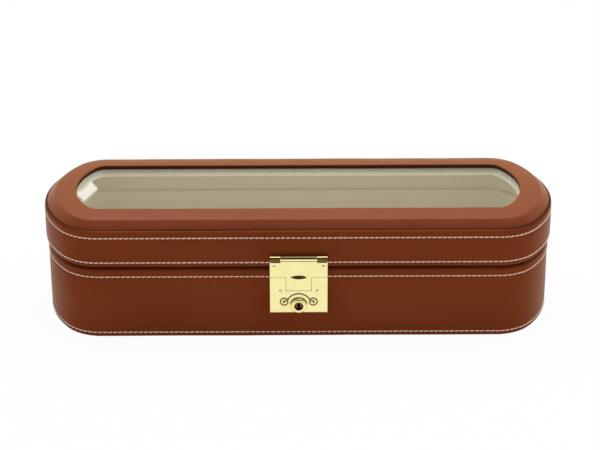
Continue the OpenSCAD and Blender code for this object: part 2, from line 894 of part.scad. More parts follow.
module lock_plate() {
    half = lock_w / 2;
    slot = tongue_w / 2 + tongue_gap;
    slot_low = hasp_low_z - tongue_h - tongue_gap;
    color(brass_color)
        difference() {
            to_front(base_face)
                bevelled_plate([-half, lock_low_z], [half, lock_top_z], lock_depth, plate_bevel, 0);
            to_front(base_face + over)
                translate([-half + lock_skin, lock_low_z + lock_skin, -2 * over])
                    cube([lock_w - 2 * lock_skin, lock_h - 2 * lock_skin, lock_depth - lock_skin + over]);
            to_front(base_face)
                translate([-slot, slot_low, lock_back_t])
                    cube([2 * slot, lock_h, lock_depth]);
            to_front(base_face, 0, plug_z)
                cylinder(r = plug_r + plug_gap, h = lock_depth + over);
            to_front(base_face, 0, plug_z)
                both_sides()
                    translate([rivet_x, rivet_up, 0])
                        cylinder(r = rivet_r + nail_gap, h = lock_depth + over);
        }
}

module lock_back_plate() {
    half = lock_w / 2 - lock_skin - lock_gap;
    color(brass_color)
        to_front(base_face)
            difference() {
                translate([-half, lock_low_z + lock_skin + lock_gap, 0])
                    cube([2 * half, lock_h - 2 * lock_skin - 2 * lock_gap, lock_back_t]);
                translate([0, plug_z, -over])
                    cylinder(r = tail_r + plug_gap, h = lock_back_t + 2 * over);
                both_sides()
                    translate([rivet_x, plug_z + rivet_up, -over])
                        cylinder(r = rivet_r + nail_gap, h = lock_back_t + 2 * over);
            }
}

module lock_rivets() {
    color(brass_color)
        to_front(base_face, 0, plug_z)
            both_sides()
                translate([rivet_x, rivet_up, 0]) {
                    translate([0, 0, -rivet_bite])
                        cylinder(r = rivet_r, h = rivet_bite + lock_depth);
                    translate([0, 0, lock_depth])
                        cylinder(r1 = rivet_head_r, r2 = rivet_r, h = rivet_head_h);
                }
}

module lock_bezel() {
    color(brass_color)
        to_front(plate_face, 0, plug_z)
            difference() {
                cylinder(r1 = bezel_r, r2 = bezel_top_r, h = bezel_h);
                translate([0, 0, -over])
                    cylinder(r = plug_r + plug_gap, h = bezel_h + 2 * over);
            }
}

// Half-round wire lying flat along an arc
module scroll_arc(x, y, r, from, sweep) {
    translate([x, y, 0])
        rotate([0, 0, from])
            rotate_extrude(angle = sweep)
                translate([r, 0])
                    polygon(arc(0, 0, scroll_r, 0, 180, 6));
}

// Round end of a wire
module scroll_bead(x, y, r) {
    translate([x, y, 0])
        cylinder(r = r, h = scroll_bead_h);
}

// Arch over the plug with a volute on each side
module lock_scroll() {
    start_a = 148;
    turn_a = 290;
    inner_turn_a = 190;
    shift = volute_r - volute_in_r;
    end_a = start_a - turn_a;
    curl = [volute_x + shift * cos(end_a), volute_up + shift * sin(end_a)];
    tip_a = end_a - inner_turn_a;
    tip = curl + volute_in_r * [cos(tip_a), sin(tip_a)];
    color(brass_color)
        to_front(plate_face, 0, plug_z) {
            scroll_arc(0, 0, arch_r, arch_foot_a, 180 - 2 * arch_foot_a);
            both_sides() {
                scroll_arc(volute_x, volute_up, volute_r, end_a, turn_a);
                scroll_arc(curl.x, curl.y, volute_in_r, tip_a, inner_turn_a);
                scroll_bead(tip.x, tip.y, scroll_tip_r);
                scroll_bead(arch_r * cos(arch_foot_a), arch_r * sin(arch_foot_a), arch_foot_r);
            }
        }
}

// Key plug: a stepped barrel with a round keyhole and its slot
module key_plug() {
    shoulder = plug_shoulder - base_face;
    slot_back = lock_depth + plug_out - keyhole_depth - key_slot_depth;
    color(brass_color)
        to_front(base_face, 0, plug_z)
            difference() {
                union() {
                    translate([0, 0, shoulder])
                        cylinder(r = plug_r, h = lock_depth + plug_out - shoulder);
                    translate([0, 0, -tail_l])
                        cylinder(r = tail_r, h = tail_l + shoulder);
                }
                translate([0, 0, lock_depth + plug_out - keyhole_depth])
                    cylinder(r = keyhole_r, h = keyhole_depth + over);
                translate([-key_slot_w / 2, -keyhole_r, slot_back])
                    cube([key_slot_w, keyhole_r, key_slot_depth + over]);
                translate([0, 0, slot_back])
                    cylinder(r = key_hole_r, h = key_slot_depth + over);
            }
}

// Cam on the plug's tail: an arm with a hook that swings over the catch stud's neck
module lock_cam() {
    color(brass_color)
        to_front(cam_back, 0, plug_z)
            rotate([0, 0, cam_rest_a])
                difference() {
                    union() {
                        cylinder(r = plug_r + lock_gap, h = plug_shoulder - cam_back);
                        translate([0, -cam_arm_w / 2, 0])
                            cube([hook_in_r + cam_hook_t / 2, cam_arm_w, cam_t]);
                        rotate_extrude(angle = cam_hook_a)
                            translate([hook_in_r, 0])
                                square([cam_hook_t, cam_t]);
                    }
                    translate([0, 0, -over])
                        cylinder(r = tail_r + lock_gap / 2, h = plug_shoulder - cam_back + 2 * over);
                }
}

underside_felt();
base_board();
base_carcass();
base_leather();
collar_board(-1);  // collar_front
collar_board(1);  // collar_back
collar_end(180);  // collar_end_left
collar_end(0);  // collar_end_right
floor_pad();
for (i = [1:bay_count + 1]) divider(i);
for (i = [1:bay_count]) watch_cushion(i);
hinge_base_leaf(-hinge_x);  // hinge_base_leaf_left
hinge_base_leaf(hinge_x);  // hinge_base_leaf_right
hinge_lid_leaf(-hinge_x);  // hinge_lid_leaf_left
hinge_lid_leaf(hinge_x);  // hinge_lid_leaf_right
hinge_pin(-hinge_x);  // hinge_pin_left
hinge_pin(hinge_x);  // hinge_pin_right
hinge_base_screws();
hinge_lid_screws();
lid_carcass();
lid_leather();
lid_lining();
top_frame();
frame_leather();
glass_pane();
glass_retainer();
hasp_leaf();
hasp_leaf_nails();
hasp_pin();
hasp_plate();
hasp_rivets();
hasp_catch();
lock_plate();
lock_back_plate();
lock_rivets();
lock_bezel();
lock_scroll();
key_plug();
lock_cam();
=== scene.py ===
# %% [markdown]
# # A leather watch box, dressed in Blender
# The box comes in as a packed CAD frame: wooden cores, linings, brass and glass, each a named
# node. This lesson puts the finishes on it. The leather is built again as its own dense skin,
# because padding, stitch holes and thread are shapes that a plain wall doesn't have. The cushions
# are filled by a cloth simulation. Brass, glass and boards keep their CAD meshes. Everything is in
# metres, or in millimetres where a comment says so; the front faces -Y, and Z is up.

import math

import bmesh
import bpy
import numpy as np
from mathutils import Matrix, Vector
from mathutils.bvhtree import BVHTree


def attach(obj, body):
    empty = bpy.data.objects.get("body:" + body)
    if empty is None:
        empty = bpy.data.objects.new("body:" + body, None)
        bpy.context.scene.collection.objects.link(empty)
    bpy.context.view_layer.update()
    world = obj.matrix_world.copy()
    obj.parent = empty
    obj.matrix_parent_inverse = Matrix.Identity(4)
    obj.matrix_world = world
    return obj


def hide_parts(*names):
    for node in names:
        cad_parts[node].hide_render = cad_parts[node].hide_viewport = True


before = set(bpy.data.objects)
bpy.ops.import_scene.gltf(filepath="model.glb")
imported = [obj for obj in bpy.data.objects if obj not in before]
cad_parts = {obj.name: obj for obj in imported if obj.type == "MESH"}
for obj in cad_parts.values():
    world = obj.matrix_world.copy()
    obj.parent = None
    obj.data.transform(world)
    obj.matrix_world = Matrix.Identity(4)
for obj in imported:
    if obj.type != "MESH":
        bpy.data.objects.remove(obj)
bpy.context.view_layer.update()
MM = 0.001

# %% [markdown]
# ## Camera
# A long lens far away keeps the box's long lines nearly parallel. The camera looks down at the
# front by about 26 degrees. It could be aimed with a Track To constraint, but this view also leans
# by a tenth of a degree, so its axes are written out as a matrix. Its place is found backwards:
# the point that it looks at is known, and so is where that point lies in the camera's own axes.

# %% Place the camera
TILT, TURN, ROLL = (math.radians(a) for a in (25.772, 0.281, 0.111))
LOOKED_AT = Vector((0, 0, 0.04129))
SEEN_AT = Vector((-0.00118, -0.01375, 1.3706))


def turned(angle):
    """Rows of a turn about the third axis."""
    c, s = math.cos(angle), math.sin(angle)
    return Matrix(((c, -s, 0), (s, c, 0), (0, 0, 1)))


down = Matrix((
    (1, 0, 0),
    (0, math.sin(TILT), math.cos(TILT)),
    (0, math.cos(TILT), -math.sin(TILT)),
))
right, up, forward = turned(ROLL) @ down @ turned(TURN)
axes = Matrix((right, up, -forward)).transposed()
eye = LOOKED_AT - Matrix((right, up, forward)).transposed() @ SEEN_AT

lens = bpy.data.cameras.new("camera")
lens.lens = 120
lens.sensor_width = 36
camera = bpy.data.objects.new("camera", lens)
camera.matrix_world = Matrix.Translation(eye) @ axes.to_4x4()
bpy.context.scene.collection.objects.link(camera)
bpy.context.scene.camera = camera
print("camera at", [round(v, 3) for v in eye])

# %% [markdown]
# ## Shader maths
# A finish is a tree of nodes, and long trees are hard to read as lists of links. Wrapping a
# socket in a small class lets a mask be written as an ordinary sum, such as `1 - mask * 0.4`.
# Every other node comes from one method that sets the node up and fills its sockets.

# %% Wrap a socket
class Wire:
    """An output socket of a finish. Sums and products of wires become Math nodes."""

    def __init__(self, tree, socket=None):
        self.tree = tree
        self.socket = socket

    def node(self, kind, settings=None, sockets=None, out=0):
        """Adds a node, sets it up, fills its sockets with values or wires, returns an output."""
        made = self.tree.nodes.new("ShaderNode" + kind)
        for name, value in (settings or {}).items():
            setattr(made, name, value)
        for name, value in (sockets or {}).items():
            if isinstance(value, Wire):
                self.tree.links.new(value.socket, made.inputs[name])
            else:
                made.inputs[name].default_value = value
        return Wire(self.tree, made.outputs[out]) if made.outputs else made

    def maths(self, operation, *values):
        return self.node("Math", {"operation": operation}, dict(enumerate(values)))

    def rise(self, low, high):
        """0 at low and 1 at high, level beyond them. It falls where low is the larger."""
        return self.node("MapRange", sockets={"Value": self, "From Min": low, "From Max": high})

    def larger(self, other):
        return self.maths("MAXIMUM", self, other)

    def __add__(self, other):
        return self.maths("ADD", self, other)

    def __sub__(self, other):
        return self.maths("SUBTRACT", self, other)

    def __rsub__(self, other):
        return self.maths("SUBTRACT", other, self)

    def __mul__(self, other):
        return self.maths("MULTIPLY", self, other)

    __radd__ = __add__
    __rmul__ = __mul__


print("a wire's own methods:", [name for name in vars(Wire) if not name.startswith("_")])

# %% Mix colours and start a finish
def paint(red, green, blue):
    """Linear colour of a paint chip given in the usual 0 to 255."""
    steps = [c / 255 for c in (red, green, blue)]
    return (*[s / 12.92 if s <= 0.04045 else ((s + 0.055) / 1.055) ** 2.4 for s in steps], 1)


def mix(factor, low, high):
    """Colour between low and high. A Mix node has many sockets named A and B, hence the numbers."""
    return factor.node("Mix", {"data_type": "RGBA"}, {0: factor, 6: low, 7: high}, out=2)


def mix_shaders(factor, low, high):
    return factor.node("MixShader", sockets={0: factor, 1: low, 2: high})


def new_finish(name):
    """An empty material, and a wire to start its tree from."""
    made = bpy.data.materials.new(name)
    made.use_nodes = True
    made.node_tree.nodes.clear()
    return made, Wire(made.node_tree)


def close_finish(start, sockets):
    """Adds the main shader and the output."""
    shader = start.node("BsdfPrincipled", sockets=sockets)
    start.node("OutputMaterial", sockets={"Surface": shader})


print("a chip of saddle brown is", [round(c, 3) for c in paint(120, 60, 30)[:3]])

# %% [markdown]
# ## Leather
# The box is wrapped in smooth calf with a low gloss. Up close such leather has fine pebbles with
# creases between them and a tone that drifts over the hide. A scanned picture of leather could be
# laid on, but it has to be unwrapped and it repeats. Noise and cells in the object's own space keep
# their size on every panel. Light and shade are also painted into the colour, from a measure that
# the mesh carries as an attribute: above a half is a painted highlight, below is painted shade in
# folds, stitch holes and grooves, and a darker line at the leather's joint. Gloss comes from a weak
# reflection, and a little warm sheen lights up the sides that are seen at a slant.

# %% Make the leather finish
def leather(name, tone, deep, highlight_tone, specular):
    made, start = new_finish(name)
    place = start.node("TexCoord", out="Object")
    drift = start.node("TexNoise", sockets={"Vector": place, "Scale": 14.0, "Detail": 3.0})
    mottle = start.node("TexNoise", sockets={"Vector": place, "Scale": 420.0, "Detail": 2.0})
    pebble = start.node(
        "TexVoronoi",
        {"feature": "SMOOTH_F1"},
        {"Vector": place, "Scale": 1150.0, "Smoothness": 0.7, "Randomness": 1.0},
    )
    worn = start.node("Attribute", {"attribute_name": "worn"}, out="Fac")
    # The attribute paints light: below a half is painted shade in a dark tone, above a half a
    # painted highlight
    leather_shade = worn.rise(0.5, 0.0)
    leather_highlight = worn.rise(0.5, 1.0)
    leather_shade_tone = (*(c * 0.2 for c in deep[:3]), 1)
    base = mix((drift - 0.5) * 0.9 + (mottle - 0.5) * 0.8 + 0.5, deep, tone)
    base = mix(leather_highlight * 0.55, base, highlight_tone)
    base = mix(leather_shade * 0.88, base, leather_shade_tone)
    height = (1 - pebble) * 0.6 + mottle * 0.4
    bump = start.node(
        "Bump", sockets={"Strength": 0.35, "Distance": 0.00012, "Height": height}
    )
    close_finish(start, {
        "Base Color": base,
        "Roughness": 0.36 + (mottle - 0.5) * 0.14 + leather_shade * 0.2,
        "Normal": bump,
        "Specular IOR Level": specular,
        "Sheen Weight": 0.14,
        "Sheen Roughness": 0.35,
        "Sheen Tint": (1, 0.76, 0.24, 1),
    })
    return made


WALL_TONE = paint(132, 61, 28)
WALL_DEEP = paint(119, 51, 21)
HIGHLIGHT_TONE = paint(158, 84, 46)
wall_leather = leather("wall_leather", WALL_TONE, WALL_DEEP, HIGHLIGHT_TONE, 0.035)
frame_hide = leather("frame_hide", paint(139, 66, 33), paint(126, 57, 26), HIGHLIGHT_TONE, 0.17)
print("leather finishes:", wall_leather.name, frame_hide.name)

# %% [markdown]
# ## Thread
# Waxed cream thread, two plies twisted together. Two real plies could be wound round each other,
# but a thousand stitches would then take many times the faces. The twist shows as fine slanted
# bands, so a wave pattern that runs along the thread shifts the colour and the bump instead.

# %% Make the thread finish
def thread():
    made, start = new_finish("thread")
    place = start.node("TexCoord", out="Object")
    ply = start.node(
        "TexWave", {"bands_direction": "DIAGONAL"}, {"Vector": place, "Scale": 700.0}, out="Fac"
    )
    fuzz = start.node("TexNoise", sockets={"Vector": place, "Scale": 2500.0})
    bump = start.node(
        "Bump", sockets={"Strength": 0.5, "Distance": 0.0001, "Height": ply + fuzz * 0.4}
    )
    close_finish(start, {
        "Base Color": mix(ply * 0.5 + fuzz * 0.3, paint(242, 196, 168), paint(255, 230, 206)),
        "Roughness": 0.6 + fuzz * 0.2,
        "Normal": bump,
    })
    return made


cream_thread = thread()
print("thread finish:", cream_thread.name)

# %% [markdown]
# ## Velvet
# The lining is short beige pile. Hair strands could stand for it, one by one, but pile this short
# is finer than a pixel. What it does to light is enough: it catches light at its tips when seen
# edge on, which the shader's own sheen does, and where it is brushed the other way it looks a
# shade darker.

# %% Make the velvet finish
def velvet(name, tone, brushed):
    made, start = new_finish(name)
    place = start.node("TexCoord", out="Object")
    nap = start.node("TexNoise", sockets={"Vector": place, "Scale": 30.0, "Detail": 4.0})
    pile = start.node("TexNoise", sockets={"Vector": place, "Scale": 3000.0, "Detail": 1.0})
    bump = start.node(
        "Bump", sockets={"Strength": 0.4, "Distance": 0.0003, "Height": pile + nap * 0.5}
    )
    close_finish(start, {
        "Base Color": mix(nap * 0.8 + pile * 0.4 - 0.1, brushed, tone),
        "Roughness": 0.85 + (pile - 0.5) * 0.1,
        "Normal": bump,
        "Sheen Weight": 0.35,
        "Sheen Roughness": 0.4,
        "Specular IOR Level": 0.1,
    })
    return made


lining_velvet = velvet("lining_velvet", paint(229, 216, 203), paint(214, 201, 188))
# The ring round the glass is the same velvet with a paler tone, a painted highlight on a face that
# the lamps leave in shade
lit_ring_velvet = velvet("lit_ring_velvet", paint(255, 252, 240), paint(248, 240, 222))
print("velvet finishes:", lining_velvet.name, lit_ring_velvet.name)

# %% [markdown]
# ## Felt and board
# The underside is covered with dark felt, a mat of short fibres. The cores are wood fibre board.
# Neither is meant to be seen, but the felt shows from below and the board through screw holes.
# Each could have a tree of its own. Both are pressed fibres, so one recipe serves them: distorted
# noise, stretched along the board and left even in the felt.

# %% Make the felt and board finishes
def fibrous(name, tone, deep, scale, rough, stretch=(1, 1, 1)):
    made, start = new_finish(name)
    place = start.node("TexCoord", out="Object")
    laid = start.node("Mapping", sockets={"Vector": place, "Scale": stretch})
    fibre = start.node(
        "TexNoise", sockets={"Vector": laid, "Scale": scale, "Detail": 5.0, "Distortion": 0.8}
    )
    bump = start.node("Bump", sockets={"Strength": 0.5, "Distance": 0.0003, "Height": fibre})
    close_finish(start, {
        "Base Color": mix(fibre * 1.6 - 0.3, deep, tone),
        "Roughness": rough + (fibre - 0.5) * 0.1,
        "Normal": bump,
    })
    return made


felt = fibrous("dark_felt", paint(62, 46, 38), paint(34, 25, 21), 900.0, 0.95)
board = fibrous("board", paint(190, 150, 104), paint(150, 112, 72), 260.0, 0.8, (0.25, 1, 3))
print("fibrous finishes:", felt.name, board.name)

# %% [markdown]
# ## Brass
# Polished and lacquered brass. A mirror with no flaws looks like plastic, so the polish varies a
# little, very fine brushing lines run across it, and a faint haze warms the colour in patches.
# Shade and dark reflections are painted into the colour: painted shade low on the hinge's knuckles,
# over and under its barrel and down in the keyhole, and a painted dark reflection on the upward
# faces of the raised scroll and, fainter, of the bezel. It could be painted on by hand, but paint
# would have to be done again after each change to a part. So each such place is a mask, worked out
# in millimetres from where a point lies or from the way that it faces.

# %% Mask the painted shade and dark reflections
PLUG_Z = 26.0


def band(value, low, high, soft):
    """1 where a value in mm lies between two limits, falling to 0 over a soft edge."""
    low, high, soft = low * MM, high * MM, soft * MM
    return value.rise(low - soft, low + soft) * value.rise(high + soft, high - soft)


# Each mask takes a point's place and how far its surface faces up, and says where shade or a dark
# reflection is painted


# Painted shade on the lower half of the outer knuckles
def under_knuckles(x, y, z, lift):
    return band(z, 57.5, 60.9, 0.2)


# Painted dark reflection above the barrel and painted shadow below it
def over_barrel(x, y, z, lift):
    return band(z, 60.5, 62.3, 0.15) * 0.75 + band(z, 57.8, 59.1, 0.15)


# Painted shade down in the keyhole
def in_keyhole(x, y, z, lift):
    up = z - PLUG_Z * MM
    from_axis = x.maths("SQRT", x * x + up * up)
    return band(from_axis, -9, 3.2, 0.1) * band(y, -60.4, 0, 0.1)


# Painted dark reflection on the scroll's upward faces
def on_top(x, y, z, lift):
    return lift.rise(-0.6, 0.1)


# A fainter painted dark reflection on the bezel's upward faces
def faintly_on_top(x, y, z, lift):
    return lift.rise(0.0, 0.6) * 0.35


# Each mask marks painted shade or a painted dark reflection
masks = under_knuckles, over_barrel, in_keyhole, on_top, faintly_on_top
print("old polish:", ", ".join(mask.__name__.replace("_", " ") for mask in masks))

# %% Make the brass finish
BRASS_SHADE_TONE = paint(84, 48, 16)
BRASS_TONE, BRASS_DEEP = paint(252, 243, 182), paint(244, 231, 161)


def brass(name, tone, deep, rough, brass_shade_mask=None):
    made, start = new_finish(name)
    place = start.node("TexCoord", out="Object")
    along = start.node("Mapping", sockets={"Vector": place, "Scale": (0.08, 1, 1)})
    lines = start.node("TexNoise", sockets={"Vector": along, "Scale": 5200.0, "Detail": 2.0})
    haze = start.node("TexNoise", sockets={"Vector": place, "Scale": 160.0, "Detail": 3.0})
    bump = start.node(
        "Bump", sockets={"Strength": 0.06, "Distance": 0.00002, "Height": lines + haze}
    )
    base = mix(haze * 1.4 - 0.2, deep, tone)
    rough = rough + (haze - 0.5) * 0.08 + (lines - 0.5) * 0.06
    if brass_shade_mask:
        facing = start.node("NewGeometry", out="Normal")
        x, y, z = (start.node("SeparateXYZ", sockets={"Vector": place}, out=a) for a in "XYZ")
        lift = start.node("SeparateXYZ", sockets={"Vector": facing}, out="Z")
        # Painted shade and dark reflection from the mask, with rougher brass there
        brass_shade = brass_shade_mask(x, y, z, lift)
        base = mix(brass_shade * 0.92, base, BRASS_SHADE_TONE)
        rough = rough + brass_shade * 0.2
    close_finish(start, {"Base Color": base, "Metallic": 1.0, "Roughness": rough, "Normal": bump})
    return made


plate_brass = brass("plate_brass", BRASS_TONE, BRASS_DEEP, 0.14)
hasp_brass = brass("hasp_brass", BRASS_TONE, BRASS_DEEP, 0.14, over_barrel)
knuckle_brass = brass("knuckle_brass", BRASS_TONE, BRASS_DEEP, 0.16, under_knuckles)
plug_brass = brass("plug_brass", BRASS_TONE, BRASS_DEEP, 0.16, in_keyhole)
scroll_brass = brass("scroll_brass", BRASS_TONE, BRASS_DEEP, 0.2, on_top)
bezel_brass = brass("bezel_brass", BRASS_TONE, BRASS_DEEP, 0.3, faintly_on_top)
inner_brass = brass("inner_brass", paint(226, 204, 136), paint(196, 168, 100), 0.26)
print("brass finishes:", [m.name for m in bpy.data.materials if "brass" in m.name])

# %% [markdown]
# ## Glass
# The pane is a real plate, 2 mm thick. A thin clear surface would be quicker, but it has no edges
# and doesn't shift what lies behind it. Light that reaches the lining through real glass takes a
# render very long to find, so shadow rays and diffuse rays pass straight through a clear stand-in.
# A little dust and a soft smear change only the gloss.

# %% Make the glass finish
def glass():
    made, start = new_finish("window_glass")
    place = start.node("TexCoord", out="Object")
    smear = start.node("TexNoise", sockets={"Vector": place, "Scale": 22.0, "Detail": 3.0})
    pane = start.node("BsdfPrincipled", sockets={
        "Base Color": (0.97, 0.985, 0.965, 1),
        "Roughness": smear * 0.03,
        "IOR": 1.5,
        "Transmission Weight": 1.0,
    })
    clear = start.node("BsdfTransparent", sockets={"Color": (0.93, 0.95, 0.93, 1)})
    shadow = start.node("LightPath", out="Is Shadow Ray")
    bounced = start.node("LightPath", out="Is Diffuse Ray")
    shader = mix_shaders(shadow.larger(bounced), pane, clear)
    start.node("OutputMaterial", sockets={"Surface": shader})
    return made


window_glass = glass()
print("glass finish:", window_glass.name)

# %% [markdown]
# ## Walking round the box
# Seen from above, the box has long straight sides and bowed ends: each end is one wide arc between
# two tighter corner arcs. Every skin and every stitch row follows this plan. A curve object with a
# bevel could be drawn along it, but then nothing would say where each needle hole falls. Here one
# function turns a distance along the wall into a point on the lid's face and the way that it faces
# there, and all else lies at an inset from it. It starts at the middle of the back, where leather
# is joined.

# %% Lay out the plan
CORNER_R, CORNER_X, CORNER_Y = 30.5, 132.0, 25.5
END_R, END_X = 73.0, 98.0
BEND = math.degrees(math.asin(CORNER_Y / (END_R - CORNER_R)))
CORNER_BACK, CORNER_FRONT, END = (CORNER_X, CORNER_Y), (CORNER_X, -CORNER_Y), (END_X, 0)
# Each stretch: where its arc's centre starts and ends, its radius, and the way it faces
RIGHT_HALF = (
    ((0, CORNER_Y), CORNER_BACK, CORNER_R, 90, 90),
    (CORNER_BACK, CORNER_BACK, CORNER_R, 90, BEND),
    (END, END, END_R, BEND, -BEND),
    (CORNER_FRONT, CORNER_FRONT, CORNER_R, -BEND, -90),
    (CORNER_FRONT, (0, -CORNER_Y), CORNER_R, -90, -90),
)
LAPS = RIGHT_HALF + tuple(
    ((-a[0], -a[1]), (-b[0], -b[1]), r, start - 180, stop - 180)
    for a, b, r, start, stop in RIGHT_HALF
)


def lap_length(lap, inset):
    """Length in mm of one stretch of the wall, measured at an inset from the lid's face."""
    a, b, r, start, stop = lap
    return math.dist(a, b) + math.radians(abs(stop - start)) * (r - inset)


def round_length(inset):
    return sum(lap_length(lap, inset) for lap in LAPS)


def stand(distances, inset):
    """Points on the lid's face, in mm, and the way each faces, at distances round the wall."""
    face = np.zeros((len(distances), 2))
    facing = np.zeros((len(distances), 2))
    gone = 0.0
    for lap in LAPS:
        a, b, r, start, stop = lap
        length = lap_length(lap, inset)
        here = (distances >= gone - 1e-6) & (distances <= gone + length + 1e-6)
        share = ((distances[here] - gone) / length)[:, None]
        turn = np.radians(start + share * (stop - start))
        facing[here] = np.hstack([np.cos(turn), np.sin(turn)])
        face[here] = np.array(a) + share * (np.array(b) - np.array(a)) + r * facing[here]
        gone += length
    return face, facing


for inset in (0.0, 1.2, 21.5):
    print("round the box at inset", inset, "is", round(round_length(inset), 1), "mm")

# %% [markdown]
# ## Leather skins
# A skin is an outline of the wrapped leather, carried round the plan. The CAD walls could be
# copied and displaced, but their few long faces can't hold a stitch hole, and this way the points
# lie where the rows need them. The outline is closed: it runs up the outside, over the rim and
# back down behind, so the skin has its real thickness and can be printed. A relief then moves the
# outer points in and out along their own direction: a valley along each row of stitches, a dimple
# at each needle hole, a soft crown between the rows, and a slow unevenness that breaks up long
# reflections as hand wrapped leather does.

# %% Build outlines
LEATHER, RIM_R, BOTTOM_R, SHOULDER_R = 1.4, 3.0, 2.0, 1.7
BASE_IN, BOTTOM, SEAM, SHOULDER = 1.2, 0.3, 52.0, 79.0
TURNED_IN, BEHIND_LINING, ON_COLLAR = 13.2, 7.4, 9.0
BASE_ROWS, LID_ROWS = (3.9, 45.4), (56.4, 74.2)
ROW_STEPS = np.array([-1.7, -1.2, -0.8, -0.5, -0.25, 0, 0.25, 0.5, 0.8, 1.2, 1.7])


def arc(inset, z, r, start, stop, steps):
    """Points of an outline round a corner: inset, height, and the direction that it faces."""
    turn = np.radians(np.linspace(start, stop, steps + 1))
    return [(inset - r * c, z + r * s, -c, s) for c, s in zip(np.cos(turn), np.sin(turn))]


def upright(inset, low, high, rows):
    """Points up a wall, close together at the stitch rows."""
    levels = [np.arange(low + 1.8, high - 1.2, 2.4)] + [row + ROW_STEPS for row in rows]
    levels = np.unique(np.round(np.concatenate(levels), 2))
    levels = levels[(levels > low + 0.2) & (levels < high - 0.2)]
    kept = [levels[0]]
    for level in levels[1:]:
        if level - kept[-1] > 0.2:
            kept.append(level)
    return [(inset, level, -1, 0) for level in kept]


def still(points):
    """The same points, which no relief moves."""
    return [(inset, z, 0, 0) for inset, z, *_ in points]


base_rim = SEAM - 0.15
base_outline = (
    still([(TURNED_IN, BOTTOM), (8.0, BOTTOM), (4.6, BOTTOM)])
    + arc(BASE_IN + BOTTOM_R, BOTTOM + BOTTOM_R, BOTTOM_R, -90, 0, 7)
    + upright(BASE_IN, BOTTOM + BOTTOM_R, base_rim - RIM_R, BASE_ROWS)
    + arc(BASE_IN + RIM_R, base_rim - RIM_R, RIM_R, 0, 90, 10)
    + still([(6.5, base_rim), (ON_COLLAR, base_rim), (ON_COLLAR, base_rim - LEATHER)])
    + still(arc(BASE_IN + RIM_R, base_rim - RIM_R, RIM_R - LEATHER, 90, 0, 3))
    + still(arc(BASE_IN + BOTTOM_R, BOTTOM + BOTTOM_R, BOTTOM_R - LEATHER, 0, -90, 2))
    + still([(TURNED_IN, BOTTOM + LEATHER)])
)
lid_rim = SEAM + 0.15
lid_outline = (
    still([(BEHIND_LINING, lid_rim), (5.0, lid_rim)])
    + arc(RIM_R, lid_rim + RIM_R, RIM_R, -90, 0, 10)
    + upright(0, lid_rim + RIM_R, SHOULDER - SHOULDER_R, LID_ROWS)
    + arc(SHOULDER_R, SHOULDER - SHOULDER_R, SHOULDER_R, 0, 90, 7)
    + still([(4.0, SHOULDER), (BEHIND_LINING, SHOULDER), (BEHIND_LINING, SHOULDER - LEATHER)])
    + still(arc(SHOULDER_R, SHOULDER - SHOULDER_R, SHOULDER_R - LEATHER, 90, 0, 2))
    + still(arc(RIM_R, lid_rim + RIM_R, RIM_R - LEATHER, 0, -90, 3))
    + still([(BEHIND_LINING, lid_rim + LEATHER)])
)
print("outline points: base", len(base_outline), "lid", len(lid_outline))

# %% [markdown]
# ## Carrying an outline round
# The wall could have its columns at any even spacing, but a dimple between two columns would be
# lost. So they stand four to a stitch, and each needle hole falls on one. Extra columns close to
# the ends of each hinge let the rim be cut there with a clean edge, where a hinge leaf is let in.

# %% Place columns
HINGE_X, HINGE_HALF = 85.0, 15.1
BESIDE_JOINT = (0.25, -0.25)


def place_columns(inset, count, extra=()):
    """Distances of the columns round the wall: count of them evenly, and the extra ones."""
    around = round_length(inset)
    even = np.arange(count) * around / count
    return np.unique(np.concatenate([even, [d % around for d in extra]]))


def hinge_edges():
    """Distances, from the back's middle, just inside and outside the ends of each hinge."""
    return [
        side * HINGE_X + end * (HINGE_HALF + step)
        for side in (-1, 1)
        for end in (-1, 1)
        for step in (-0.03, 0.03)
    ]


def points_at(face, facing, insets, heights):
    """Points in mm of all columns; insets and heights have one row for each column."""
    x = face[:, :1] - insets * facing[:, :1]
    y = face[:, 1:] - insets * facing[:, 1:]
    return np.stack([x, y, heights + 0 * x], -1)


print("columns at the hinges:", [round(distance, 2) for distance in hinge_edges()])

# %% Make a mesh
def add_mesh(name, points, faces, finish, body, replaced=(), worn=None):
    """Makes a smooth mesh piece from points in mm, and puts it on its body."""
    mesh = bpy.data.meshes.new(name)
    mesh.from_pydata((np.asarray(points, float).reshape(-1, 3) * MM).tolist(), [], faces)
    mesh.materials.append(finish)
    mesh.shade_smooth()
    if worn is not None:
        layer = mesh.attributes.new("worn", "FLOAT", "POINT")
        layer.data.foreach_set("value", np.asarray(worn, np.float32).ravel())
    work = bmesh.new()
    work.from_mesh(mesh)
    bmesh.ops.recalc_face_normals(work, faces=work.faces)
    work.to_mesh(mesh)
    work.free()
    made = bpy.data.objects.new(name, mesh)
    bpy.context.scene.collection.objects.link(made)
    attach(made, body)
    if replaced:
        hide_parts(*replaced)
    print(name, "has", len(mesh.polygons), "faces on", body)
    return made


def ring_faces(columns, rows):
    """Faces of a closed outline carried round a closed path."""
    a, b = np.meshgrid(np.arange(columns), np.arange(rows), indexing="ij")
    steps = ((0, 0), (1, 0), (1, 1), (0, 1))
    quads = [((a + i) % columns * rows + (b + j) % rows).ravel() for i, j in steps]
    return np.stack(quads, 1).tolist()


print("a ring of 4 columns and 3 rows has", len(ring_faces(4, 3)), "faces")

# %% [markdown]
# ## Relief and painted light
# The relief says how far the leather stands out at each point. It could be sculpted, but a formula
# treats all of the thousand holes alike and can be changed in one place. A second measure, which
# the finish reads, paints light and shade into the colour: painted shade in the seam between lid
# and base, in needle holes and at the top of the ends under the frame, a painted highlight where
# the wall crowns out, and a darker line at the joint. Behind the lock the wall stays flat, and the
# leather beside it is pulled in deeper. The hinge leaves are let into both rims.

# %% Count the stitches
PITCH, COLUMNS_A_STITCH = 3.41, 4


